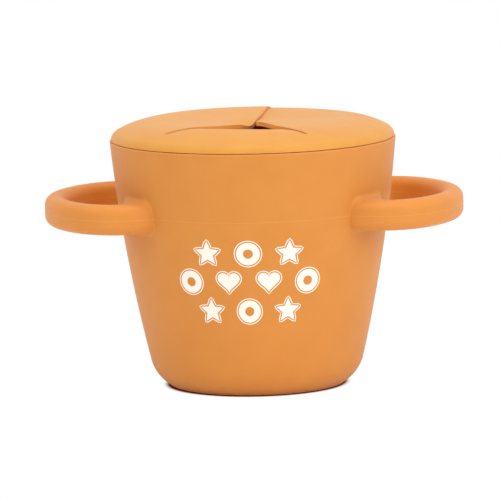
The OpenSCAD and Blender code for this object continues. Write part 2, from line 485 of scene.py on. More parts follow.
@dataclass
class CupShell:
    """The tapered cup: a revolved wall with a rounded foot, a thick floor and a soft rim."""

    material: bpy.types.Material
    height: float
    rim_r: float
    foot_r: float = 27.8
    heel_r: float = 35.1
    heel_h: float = 8.9
    wall_bow: float = 1.3
    heel_bow: float = 1.0
    wall_t: float = 2.6
    floor_t: float = 4.0
    foot_slope: float = 47.0
    foot_round: float = 2.2
    rim_round: float = 0.5
    inner_heel: float = 7.0
    # Rings of points this far inside the turns of the base and the floor keep their shading crisp
    crease: float = 0.6
    # The wall's last ring stays this far below the rim's rounding
    rim_clear: float = 0.2
    segments: int = 256

    @staticmethod
    def _bow(a: Points, b: Points, bow: float) -> tuple[Points, float]:
        """Works out the arc from a up to b that bows outward.

        Args:
            a: Radius and height of its lower end.
            b: Radius and height of its upper end.
            bow: How far its middle stands out from the chord.

        Returns:
            Its centre and its radius.
        """
        way = b - a
        span = float(np.hypot(*way))
        side = np.array([way[1], -way[0]]) / span
        radius = (span * span / 4 + bow * bow) / (2 * bow)
        return (a + b) / 2 - side * (radius - bow), radius

    def _arc_between(self, a: Points, b: Points, bow: float, steps: int) -> Points:
        """Draws the bowed arc from a up to b.

        Args:
            a: Radius and height of its lower end.
            b: Radius and height of its upper end.
            bow: How far its middle stands out from the chord.
            steps: Steps along it.

        Returns:
            Points along it, with both ends.
        """
        centre, radius = self._bow(a, b, bow)
        start, stop = (math.degrees(math.atan2(*(p - centre)[::-1])) for p in (a, b))
        return arc(centre, radius, start, stop, steps)

    @property
    def _wall_arc(self) -> tuple[Points, float]:
        """Centre and radius of the outer wall's arc."""
        heel, rim = np.array([self.heel_r, self.heel_h]), np.array([self.rim_r, self.height])
        return self._bow(heel, rim, self.wall_bow)

    def outer_radius(self, z: Points | float) -> Points:
        """Outer radius of the wall at a height above the heel."""
        centre, radius = self._wall_arc
        return centre[0] + np.sqrt(radius**2 - (np.asarray(z, float) - centre[1]) ** 2)

    def wall_normal(self, points: Points) -> Points:
        """Outward normal of the wall nearest to each point.

        Args:
            points: Places, one a row.

        Returns:
            One unit vector a row.
        """
        centre, _ = self._wall_arc
        radial = np.hypot(points[:, 0], points[:, 1])
        out, up = radial - centre[0], points[:, 2] - centre[1]
        length = np.hypot(out, up)
        flat = points[:, :2] / radial[:, None] * (out / length)[:, None]
        return np.column_stack([flat, up / length])

    def wall_distance(self, points: Points) -> Points:
        """Signed distance from the outside of the wall, positive outside."""
        centre, radius = self._wall_arc
        return np.hypot(np.hypot(points[:, 0], points[:, 1]) - centre[0], points[:, 2] - centre[1]) - radius

    def _profile(self) -> Points:
        """Draws the cup's section.

        Returns:
            Radius and height of each corner, anticlockwise from the base's centre.
        """
        slope = math.radians(self.foot_slope)
        foot_end = np.array([
            self.foot_r + self.foot_round * math.sin(slope), self.foot_round * (1 - math.cos(slope))
        ])
        heel = np.array([self.heel_r, self.heel_h])
        rim = np.array([self.rim_r, self.height])
        top = self.height - self.rim_round
        wall = self._arc_between(heel, rim, self.wall_bow, steps=48)[1:]
        outside = [
            arc([self.foot_r, self.foot_round], self.foot_round, -90, self.foot_slope - 90, steps=8),
            self._arc_between(foot_end, heel, self.heel_bow, steps=12)[1:],
            wall[wall[:, 1] < top - self.rim_clear],
        ]
        outer_top = float(self.outer_radius(self.height))
        inner_top = outer_top - self.wall_t
        edge = [
            arc([outer_top - self.rim_round, top], self.rim_round, 0, 90, steps=6),
            arc([inner_top + self.rim_round, top], self.rim_round, 90, 180, steps=6),
        ]
        corner_z = self.floor_t + self.inner_heel
        corner_r = float(self.outer_radius(corner_z)) - self.wall_t - self.inner_heel
        inner_z = np.linspace(top, corner_z, 40)[1:]
        inside = [
            np.stack([self.outer_radius(inner_z) - self.wall_t, inner_z], axis=1),
            arc([corner_r, corner_z], self.inner_heel, 0, -90, steps=12)[1:],
        ]
        base = [[0, 0], [self.foot_r / 2, 0], [self.foot_r - self.crease, 0]]
        floor = [[corner_r - self.crease, self.floor_t], [corner_r / 2, self.floor_t], [0, self.floor_t]]
        return np.vstack([base, *outside, *edge, *inside, floor])

    def build(self) -> list[bpy.types.Object]:
        """Builds the shell and hands it to its body.

        Returns:
            The one piece made.
        """
        piece = mesh_object("cup_shell", *revolve(self._profile(), self.segments), self.material)
        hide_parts("cup")
        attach(piece, "cup_body")
        return [piece]


class Side(Enum):
    """Which side of the cup a handle stands on."""

    LEFT = -1
    RIGHT = 1


@dataclass
class LoopHandle:
    """One loop handle: a D of rounded band whose two roots run into the wall with a fillet.

    Its skin is where one smooth distance field is zero, so band, roots and fillets are a single surface.
    """

    cup: CupShell
    material: bpy.types.Material
    side: Side
    reach: float
    middle_z: float
    band_w: float = 7.0
    band_h: float = 9.9
    band_round: float = 3.2
    tip_bend: float = 37.5
    tip_half_angle: float = 43.0
    shoulder_bend: float = 17.0
    opening_flat: float = 41.9
    opening_corner: float = 4.0
    # Rounding of the opening's edges where they reach the wall, and the distances from the opening's
    # middle line and from the wall over which it grows into the band's own
    root_round: float = 1.0
    crisp_side: float = 2.0
    crisp_span: Span = (1.0, 7.0)
    # Fillets at the root's sides, and where its top and bottom run up to the wall
    root_fillet: float = 0.7
    web_fillet: float = 2.0
    # How far below the wall the fillet's edge lies, and how far into the wall the piece is closed
    tuck: float = 0.004
    anchor: float = 1.0
    # How far past its fillet the skin is kept, and how near the wall it shades as the wall does
    trim: float = 0.25
    merge: float = 0.12
    # Grid that the skin is found on: its cells, its start inside the opening's flat, and its half width
    cell: float = 0.5
    grid_depth: float = 16.0
    grid_half_y: float = 38.5

    @property
    def tip_x(self) -> float:
        """Centre of the tip's bend, from the cup's axis."""
        return self.reach - self.band_w / 2 - self.tip_bend

    def _ring_distance(self, x: Points, y: Points, offset: float) -> Points:
        """Finds how far places are from the loop, in plan.

        Args:
            x: Distance out from the cup's axis.
            y: Distance along the cup's side, without its sign.
            offset: How far outward the loop's middle line is moved.

        Returns:
            Signed distances, positive outside.
        """
        half = math.radians(self.tip_half_angle)
        lean = self.tip_bend - self.shoulder_bend
        shoulder_x, shoulder_y = self.tip_x + lean * math.cos(half), lean * math.sin(half)
        tip = np.hypot(x - self.tip_x, y) - self.tip_bend
        shoulder = np.hypot(x - shoulder_x, y - shoulder_y) - self.shoulder_bend
        beyond = y * math.cos(half) > (x - self.tip_x) * math.sin(half)
        return np.where(beyond, shoulder, tip) - offset

    @staticmethod
    def _rounded_corner(first: Points, second: Points, radius: Points | float) -> Points:
        """Distance from the inside of a rounded corner, given each side's distance plus the radius."""
        past = np.hypot(np.maximum(first, 0), np.maximum(second, 0))
        return np.minimum(np.maximum(first, second), 0) + past - radius

    def band_distance(self, points: Points) -> Points:
        """Finds how far places are from the bare band with its roots.

        Args:
            points: Places, one a row.

        Returns:
            Signed distances, positive outside.
        """
        x, y = points[:, 0] * self.side.value, np.abs(points[:, 1])
        outline = self._ring_distance(x, y, self.band_w / 2)
        within = self._ring_distance(x, y, -self.band_w / 2) + self.opening_corner
        past_flat = self.opening_flat - x + self.opening_corner
        opening = self._rounded_corner(within, past_flat, self.opening_corner)
        # The opening's edges grow crisp towards the wall; the outer edges keep their rounding
        inner = smooth_step(-opening - outline, -self.crisp_side, self.crisp_side)
        crisp = inner * (1 - smooth_step(self.cup.wall_distance(points), *self.crisp_span))
        rounding = self.band_round + (self.root_round - self.band_round) * crisp
        plan = np.maximum(outline, -opening) + rounding
        tall = np.abs(points[:, 2] - self.middle_z) - self.band_h / 2 + rounding
        return self._rounded_corner(plan, tall, rounding)

    def fillet_at(self, points: Points) -> Points:
        """Finds the fillet's radius, which fades where the band and the wall run nearly the same way.

        Args:
            points: Places, one a row.

        Returns:
            The radius at each.
        """
        slope = gradient(self.band_distance, points)
        facing = np.sum(slope * self.cup.wall_normal(points), axis=1)
        fillet = self.root_fillet + (self.web_fillet - self.root_fillet) * slope[:, 2] ** 2
        return fillet * np.clip(1 - facing, 0, 1)

    def distance(self, points: Points) -> Points:
        """Finds how far places are from the handle and the wall joined by their fillet.

        Args:
            points: Places, one a row.

        Returns:
            Signed distances, positive outside.
        """
        band = self.band_distance(points)
        wall = self.cup.wall_distance(points) + self.tuck
        fillet = self.fillet_at(points)
        dip = np.hypot(np.maximum(fillet - band, 0), np.maximum(fillet - wall, 0))
        return np.maximum(np.minimum(band, wall), fillet) - dip

    def _close_roots(self, piece: bpy.types.Object) -> None:
        """Draws each open root a little into the wall and caps it there.

        Args:
            piece: The handle's piece.
        """
        mesh = bmesh.new()
        mesh.from_mesh(piece.data)
        rims = [e for e in mesh.edges if e.is_boundary]
        drawn = bmesh.ops.extrude_edge_only(mesh, edges=rims)["geom"]
        corners = [g for g in drawn if isinstance(g, bmesh.types.BMVert)]
        places = np.array([v.co for v in corners]) / MM
        for corner, place in zip(corners, places - self.anchor * self.cup.wall_normal(places)):
            corner.co = Vector(place * MM)
        caps = [e for e in mesh.edges if e.is_boundary]
        bmesh.ops.holes_fill(mesh, edges=caps, sides=0)
        bmesh.ops.recalc_face_normals(mesh, faces=mesh.faces)
        mesh.to_mesh(piece.data)
        mesh.free()

    def build(self) -> list[bpy.types.Object]:
        """Builds the handle's skin and hands it to the cup's body.

        Returns:
            The one piece made.
        """
        margin = 3 * self.cell
        ends = (self.opening_flat - self.grid_depth, self.reach + margin)
        low_x, high_x = sorted(x * self.side.value for x in ends)
        half_z = self.band_h / 2 + self.web_fillet + margin
        points, faces = surface_net(
            self.distance,
            (low_x, -self.grid_half_y, self.middle_z - half_z),
            (high_x, self.grid_half_y, self.middle_z + half_z),
            self.cell,
        )
        near = self.band_distance(points) < self.fillet_at(points) + self.trim
        kept = faces[near[faces].all(axis=1)]
        used, renumbered = np.unique(kept, return_inverse=True)
        faces = renumbered.reshape(kept.shape)
        name = self.side.name.lower()
        piece = mesh_object(f"{name}_handle_loop", points[used], faces, self.material)
        self._close_roots(piece)
        self._shade(piece)
        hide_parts(f"{name}_handle")
        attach(piece, "cup_body")
        return [piece]

    def _shade(self, piece: bpy.types.Object) -> None:
        """Sets the skin's exact normals, which turn into the wall's own at the fillet's edge.

        Args:
            piece: The handle's piece.
        """
        places = vertex_places(piece)
        blend = smooth_step(self.cup.wall_distance(places), 0.0, self.merge)[:, None]
        mixed = self.cup.wall_normal(places) * (1 - blend) + gradient(self.distance, places) * blend
        mixed /= np.linalg.norm(mixed, axis=1, keepdims=True)
        piece.data.normals_split_custom_set_from_vertices(mixed.tolist())


# ---- the lid


@dataclass
class Lid:
    """The plug-in lid: a crowned ring with a skirt, whose thin middle is slit into three flaps.

    It is drawn with its front towards -Y and then turned on the cup.
    """

    material: bpy.types.Material
    # The frame's joints, which tell where each flap bends
    joints: list[dict]
    rim_z: float
    inner_radius: Callable[[float], float]
    height: float
    edge_r: float
    # How far its edge stands in from the cup's rim
    rim_inset: float = 0.4
    turn: float = -8.0
    edge_round: float = 3.3
    flat_r: float = 30.0
    web_t: float = 1.4
    shoulder_t: float = 2.2
    skirt_h: float = 7.5
    skirt_t: float = 1.9
    skirt_gap: float = 0.5
    bead_gap: float = 0.08
    bead_r: float = 0.9
    bead_levels: Span = (-2.4, -5.0)
    # Where the thin web ends, and the width over which it thickens into the shoulder
    thin_r: float = 34.5
    web_step: float = 1.0
    slit_reach: float = 40.0
    slit_angle: float = 35.8
    slit_bend: float = 40.0
    slit_w: float = 0.4
    # Width of the back slit, whose faces lie nearly together
    shut_w: float = 0.12
    hinge_reach: float = 34.0
    # The shadow line between lid and cup, and how far in from the lid's edge it starts
    seam_gap: float = 0.25
    seam_lip: float = 0.4
    dish: float = 1.05
    segments: int = 256

    def __post_init__(self) -> None:
        """Works out the crown's arc and the front slits' circle."""
        run = self.edge_r - self.edge_round - self.flat_r
        self.crown_r = (run**2 + self.height**2 - self.edge_round**2) / 2 / (self.height - self.edge_round)
        self.crown_z = self.height - self.crown_r
        half, angle = math.radians(self.slit_bend / 2), math.radians(self.slit_angle)
        self.slit_r = self.slit_reach / 2 / math.sin(half)
        end = self.slit_reach * np.array([math.sin(angle), -math.cos(angle)])
        sideways = np.array([math.cos(angle), math.sin(angle)])
        self.slit_centre = end / 2 + self.slit_r * math.cos(half) * sideways

    def crown(self, radius: Points) -> Points:
        """Height of the undented top above the rim, inside the edge's rounding."""
        out = np.maximum(radius - self.flat_r, 0)
        return self.crown_z + np.sqrt(self.crown_r**2 - out**2)

    def underside(self, radius: Points) -> Points:
        """Finds the underside's height above the rim, inside the skirt.

        Args:
            radius: Distances from the lid's axis.

        Returns:
            The height at each.
        """
        out = np.maximum(radius - self.flat_r, 0)
        shoulder = self.crown_z + np.sqrt((self.crown_r - self.shoulder_t) ** 2 - out**2)
        thick = smooth_step(radius, self.thin_r, self.thin_r + self.web_step)
        return (self.height - self.web_t) * (1 - thick) + shoulder * thick

    def dent(self, radius: Points) -> Points:
        """Depth of the shallow dish that the thin middle has sunk into."""
        inside = np.minimum(radius / self.flat_r, 1)
        return self.dish / 2 * (1 + np.cos(math.pi * inside**2))

    def front_slit(self, share: Points) -> Points:
        """Draws the right front slit's middle line.

        Args:
            share: How far along it, from 0 at its end to 1 at the lid's axis.

        Returns:
            Places in plan.
        """
        start = math.atan2(-self.slit_centre[1], -self.slit_centre[0])
        angle = start + math.radians(self.slit_bend) * (1 - np.asarray(share, float))
        return self.slit_centre + self.slit_r * np.stack([np.cos(angle), np.sin(angle)], axis=-1)

    def _ring_profile(self) -> Points:
        """Draws the section of the ring outside the slits.

        Returns:
            Radius and height above the rim of each corner, anticlockwise.
        """
        edge_centre = np.array([self.edge_r - self.edge_round, 0.0])
        lean = math.degrees(math.atan2(-self.crown_z, edge_centre[0] - self.flat_r))
        skirt_r = self.inner_radius(self.rim_z - self.skirt_h) - self.skirt_gap
        skirt_tip = self.skirt_t / 2
        half = math.degrees(math.acos((self.bead_r + self.bead_gap - self.skirt_gap) / self.bead_r))
        beads = []
        for level in sorted(self.bead_levels):
            middle = self.inner_radius(self.rim_z + level) - self.bead_gap - self.bead_r
            beads.append(arc([middle, level], self.bead_r, -half, half, steps=8))
        top_inner = self.inner_radius(self.rim_z) - self.skirt_gap
        edge = arc(edge_centre, self.edge_round, 0, lean, steps=14)
        edge[0, 1] = self.seam_gap
        crown_stop = math.degrees(math.acos((self.slit_reach - self.flat_r) / self.crown_r))
        under_r = np.linspace(self.slit_reach, top_inner - self.skirt_t, 8)
        return np.vstack([
            np.stack([under_r, self.underside(under_r)], axis=1),
            [[top_inner - self.skirt_t, 0.0]],
            arc([skirt_r - skirt_tip, -self.skirt_h], skirt_tip, 180, 360, steps=10),
            *beads,
            [[top_inner, self.seam_gap], [self.edge_r - self.seam_lip, self.seam_gap]],
            edge,
            arc([self.flat_r, self.crown_z], self.crown_r, lean, crown_stop, steps=16)[1:],
        ])

    def _ring(self) -> bpy.types.Object:
        """Builds the ring with its skirt and beads.

        Returns:
            The piece, whose crown's inner edge shades as the flaps beside it do.
        """
        profile = self._ring_profile()
        profile[:, 1] += self.rim_z
        points, faces = revolve(profile, self.segments)
        piece = mesh_object("lid_ring", turned(points, self.turn), faces, self.material)
        places = vertex_places(piece)
        radius = np.hypot(places[:, 0], places[:, 1])
        normals = np.array([n.vector for n in piece.data.vertex_normals])
        under = self.rim_z + self.underside(np.array([self.slit_reach]))[0]
        inner_edge = np.abs(radius - self.slit_reach) < CLOSE
        crown_edge = inner_edge & (places[:, 2] > under + self.web_t / 2)
        normals[crown_edge] = self.crown_normal(places[crown_edge])
        piece.data.normals_split_custom_set_from_vertices(normals.tolist())
        return piece

    def crown_normal(self, places: Points) -> Points:
        """Finds the undented crown's upward normal.

        Args:
            places: Places on it, one a row.

        Returns:
            One unit vector a row.
        """
        radius = np.maximum(np.hypot(places[:, 0], places[:, 1]), TINY)
        out = np.maximum(radius - self.flat_r, 0) / self.crown_r
        return np.column_stack([places[:, :2] / radius[:, None] * out[:, None], np.sqrt(1 - out**2)])

    def build(self) -> list[bpy.types.Object]:
        """Builds the ring and the flaps, and hands the ring to its body.

        Returns:
            The pieces made.
        """
        ring = self._ring()
        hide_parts("lid")
        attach(ring, "lid_body")
        return [ring, *(Flap(self, place).build() for place in FlapPlace)]


class FlapPlace(Enum):
    """Which of the lid's three flaps."""

    FRONT = "front"
    LEFT = "left"
    RIGHT = "right"


@dataclass(frozen=True)
class Settling:
    """How far a side flap has sunk below the dish, and crept sideways along the back slit."""

    # Sag all over, and how much more the tip has within about tip_run of the lid's axis
    even: float
    tip: float
    tip_run: float
    # A soft swell along the front slit, how far from the axis it lies, and a dip along the back slit
    swell: float
    swell_at: float
    dip: float
    # Creep along the back slit, and of the tip alone
    creep: float
    tip_creep: float
    # Where along the front the swell takes over from the dip, as the sine of the angle from the side
    front_span: Span = (-0.7, 0.6)
    # How sharply the tip's sag and the swell end, and how near the axis both swell and dip fade
    tip_power: float = 2.5
    swell_power: float = 2.0
    axis_run: float = 3.0
    # How near the axis the creep starts, where it ends, and how far the tip's own creep reaches
    creep_start: float = 4.0
    creep_end: Span = (16.0, 36.0)
    tip_creep_run: float = 6.0

    def sag(self, plan: Points) -> Points:
        """Finds how far the flap hangs below the dish.

        Args:
            plan: Places in plan, one a row.

        Returns:
            The sag at each.
        """
        radius = np.hypot(plan[:, 0], plan[:, 1])
        forward = smooth_step(-plan[:, 1] / np.maximum(radius, TINY), *self.front_span)
        off_swell = (radius - self.swell_at) / self.swell_at
        swell = self.swell * np.exp(-self.swell_power * off_swell**2)
        uneven = self.dip * (1 - forward) - swell * forward
        tip = self.tip * np.exp(-((radius / self.tip_run) ** self.tip_power))
        return self.even + tip + uneven * (1 - np.exp(-((radius / self.axis_run) ** 2)))

    def drift(self, radius: Points) -> Points:
        """How far the flap lies to the right of its drawn place."""
        along = (1 - np.exp(-radius / self.creep_start)) * (1 - smooth_step(radius, *self.creep_end))
        return self.creep * along + self.tip_creep * np.exp(-radius / self.tip_creep_run)


@dataclass
class Flap:
    """One flap of the lid's thin middle, out to the circle through the slits' ends."""

    lid: Lid
    place: FlapPlace
    # Width over which it bends at its hinge line, and over which its sag fades out at the ring
    bend_width: float = 5.0
    hold: float = 2.0
    # Front flap: where its slope starts, how softly, how steep, and how it curls on further inward
    crest_y: float = 32.5
    crest_soft: float = 1.0
    first_slope: float = 0.14
    curl_start: float = 8.5
    curl: float = 0.0035
    # Its crest sinks a little towards the right and rises a little at both sides, out to crest_span
    crest_sink: float = -0.02
    crest_tilt: float = -0.009
    crest_bow: float = 0.0006
    crest_span: Span = (13.0, 21.0)
    # How far its two corners stay below the lid beside the slits' ends, and where that starts and ends
    edge_lip: float = 0.35
    lip_span: Span = (14.0, 22.0)
    lip_end: Span = (38.5, 40.0)
    # How much of its tip is cut off
    blunt: float = 1.2
    left: Settling = Settling(
        even=0.42, tip=1.25, tip_run=6.6, swell=0.27, swell_at=18.6, dip=-0.38, creep=0.45, tip_creep=-0.33
    )
    right: Settling = Settling(
        even=0.39, tip=-0.31, tip_run=4.0, swell=1.22, swell_at=14.2, dip=0.6, creep=0.3, tip_creep=1.71
    )
    # Side flaps: where the creep fades from the back slit towards the front ones
    creep_span: Span = (-12.0, 2.0)
    # Rows from the ring to the tip, how much they crowd outward, and columns of the front and side flaps
    rows: int = 44
    row_bias: float = 1.15
    front_columns: int = 40
    side_columns: int = 72

    @property
    def is_front(self) -> bool:
        """Whether this is the front flap."""
        return self.place is FlapPlace.FRONT

    @property
    def settling(self) -> Settling:
        """The side flap's own settling."""
        return self.left if self.place is FlapPlace.LEFT else self.right

    def _hang(self, plan: Points) -> Points:
        """Finds how far the flap hangs below the dish.

        Args:
            plan: Places in plan, one a row.

        Returns:
            The drop at each.
        """
        radius = np.hypot(plan[:, 0], plan[:, 1])
        held = 1 - smooth_step(radius, self.lid.hinge_reach - self.hold, self.lid.slit_reach)
        if not self.is_front:
            return held * self.settling.sag(plan)
        across = plan[:, 0]
        inward = self.crest_y + plan[:, 1]
        soft = (inward + np.sqrt(inward**2 + self.crest_soft**2)) / 2
        curled = self.curl * np.maximum(inward - self.curl_start, 0) ** 2
        crest = self.crest_sink - self.crest_tilt * across - self.crest_bow * across**2
        uneven = crest * (1 - smooth_step(np.abs(across), *self.crest_span))
        corners = smooth_step(np.abs(across), *self.lip_span) * (1 - smooth_step(radius, *self.lip_end))
        return held * (self.first_slope * soft + curled + uneven) + self.edge_lip * corners

    def _crept(self, plan: Points) -> Points:
        """Moves plan places by a side flap's sideways creep.

        Args:
            plan: Places in plan, one a row.

        Returns:
            Where they have crept to.
        """
        out = np.array(plan, float)
        if not self.is_front:
            share = smooth_step(out[:, 1] - np.abs(out[:, 0]), *self.creep_span)
            out[:, 0] += self.settling.drift(np.hypot(plan[:, 0], plan[:, 1])) * share
        return out

    def _front_edge(self, side: int, inside: float, share: Points) -> Points:
        """Finds an edge along a front slit.

        Args:
            side: 1 for the right slit, -1 for the left one.
            inside: How far the edge lies from the slit's middle line, away from its circle's centre.
            share: How far along it, from 0 at the slit's end to 1 at the lid's axis.

        Returns:
            Places in plan, one a row.
        """
        line = self.lid.front_slit(share)
        out = line - self.lid.slit_centre
        out /= np.linalg.norm(out, axis=-1, keepdims=True)
        return (line + inside * out) * [side, 1]

    def _back_edge(self, side: int, share: Points) -> Points:
        """Edge along the back slit, to the right of it for side 1 and to the left for side -1."""
        across = np.full_like(share, side * self.lid.shut_w / 2)
        return np.stack([across, self.lid.slit_reach * (1 - share)], axis=-1)

    def _edges(self, share: Points) -> tuple[Points, Points]:
        """Finds the flap's two long edges.

        Args:
            share: How far along them, from 0 at the slits' ends to 1 at the lid's axis.

        Returns:
            Places in plan on the edge at the start of each row and on the one at its end.
        """
        half = self.lid.slit_w / 2
        if self.is_front:
            return self._front_edge(-1, half, share), self._front_edge(1, half, share)
        if self.place is FlapPlace.RIGHT:
            return self._front_edge(1, -half, share), self._back_edge(1, share)
        return self._back_edge(-1, share), self._front_edge(-1, -half, share)

    def _plan(self) -> Points:
        """Lays out the flap's grid.

        Returns:
            Plan places in rows from the outer arc inward, each from one slit to the other.
        """
        angle = self.lid.slit_angle
        start, stop = {
            FlapPlace.FRONT: (-90 - angle, -90 + angle),
            FlapPlace.RIGHT: (-90 + angle, 90),
            FlapPlace.LEFT: (90, 270 - angle),
        }[self.place]
        t = np.linspace(0, 1, (self.front_columns if self.is_front else self.side_columns) + 1)
        inward = 1 - (1 - np.linspace(0, 1, self.rows + 1)) ** self.row_bias
        end = float(np.interp(-self.blunt, self._edges(t)[1][:, 1], t)) if self.is_front else 1.0
        first, second = self._edges(end * inward)
        angles = np.radians(start + (stop - start) * t)
        rim = self.lid.slit_reach * np.stack([np.cos(angles), np.sin(angles)], axis=-1)
        chord = (1 - t)[:, None] * first[0] + t[:, None] * second[0]
        rim[0], rim[-1] = first[0], second[0]
        ruled = (1 - t)[None, :, None] * first[:, None] + t[None, :, None] * second[:, None]
        return ruled + (1 - inward)[:, None, None] * (rim - chord)[None]

    def _surface(self, plan: Points) -> tuple[Points, Points]:
        """Finds the heights of the flap's two skins.

        Args:
            plan: Places in plan, one a row.

        Returns:
            Heights of the top and of the underside.
        """
        radius = np.hypot(plan[:, 0], plan[:, 1])
        level = self.lid.rim_z - self.lid.dent(radius) - self._hang(plan)
        return self.lid.crown(radius) + level, self.lid.underside(radius) + level

    def build(self) -> bpy.types.Object:
        """Builds the flap's skin in place of its solid.

        Returns:
            The piece.
        """
        grid = self._plan()
        plan = grid.reshape(-1, 2)
        under = len(plan)
        points = np.vstack([np.column_stack([self._crept(plan), z]) for z in self._surface(plan)])
        number = np.arange(under).reshape(grid.shape[:2])
        faces, kinds = [], []
        for near, far in zip(number, number[1:]):
            for a, b, c, d in zip(near, near[1:], far[1:], far):
                faces += [[a, b, c, d], [under + d, under + c, under + b, under + a]]
                kinds += ["top", "under"]
        loop = [*number[0, :-1], *number[:-1, -1], *number[-1, :0:-1], *number[:0:-1, 0]]
        for a, b in zip(loop, loop[1:] + loop[:1]):
            faces.append([b, a, under + a, under + b])
            kinds.append("side")
        name = f"{self.place.value}_flap_skin"
        piece = mesh_object(name, turned(points, self.lid.turn), faces, self.lid.material)
        self._shade(piece, plan, kinds)
        self._hand_over(piece)
        return piece

    def _shade(self, piece: bpy.types.Object, plan: Points, kinds: list[str], step: float = 0.05) -> None:
        """Sets smooth normals on the two skins and keeps the cut faces crisp.

        Args:
            piece: The flap's piece.
            plan: Plan places of one skin's points.
            kinds: Which faces are top, under and side.
            step: Half the spacing of the samples that a slope is taken from.
        """
        ahead = [self._surface(plan + shift) for shift in ([step, 0], [0, step])]
        behind = [self._surface(plan - shift) for shift in ([step, 0], [0, step])]
        slopes = {}
        for index, (kind, sign) in enumerate((("top", 1), ("under", -1))):
            across, along = ((a[index] - b[index]) / (2 * step) for a, b in zip(ahead, behind))
            normal = np.stack([-across, -along, np.ones(len(plan))], axis=1)
            normal /= np.linalg.norm(normal, axis=1, keepdims=True)
            slopes[kind] = turned(sign * normal, self.lid.turn)
        loops = []
        for polygon, kind in zip(piece.data.polygons, kinds):
            for vertex in polygon.vertices:
                loops.append(polygon.normal if kind == "side" else slopes[kind][vertex % len(plan)])
        piece.data.normals_split_custom_set([tuple(n) for n in loops])

    def _hand_over(self, piece: bpy.types.Object) -> None:
        """Replaces the flap's solid and bakes the skin's placement into its mesh.

        Args:
            piece: The flap's piece.
        """
        name = self.place.value
        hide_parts(f"{name}_flap")
        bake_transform(piece)


# ---- mould line and print


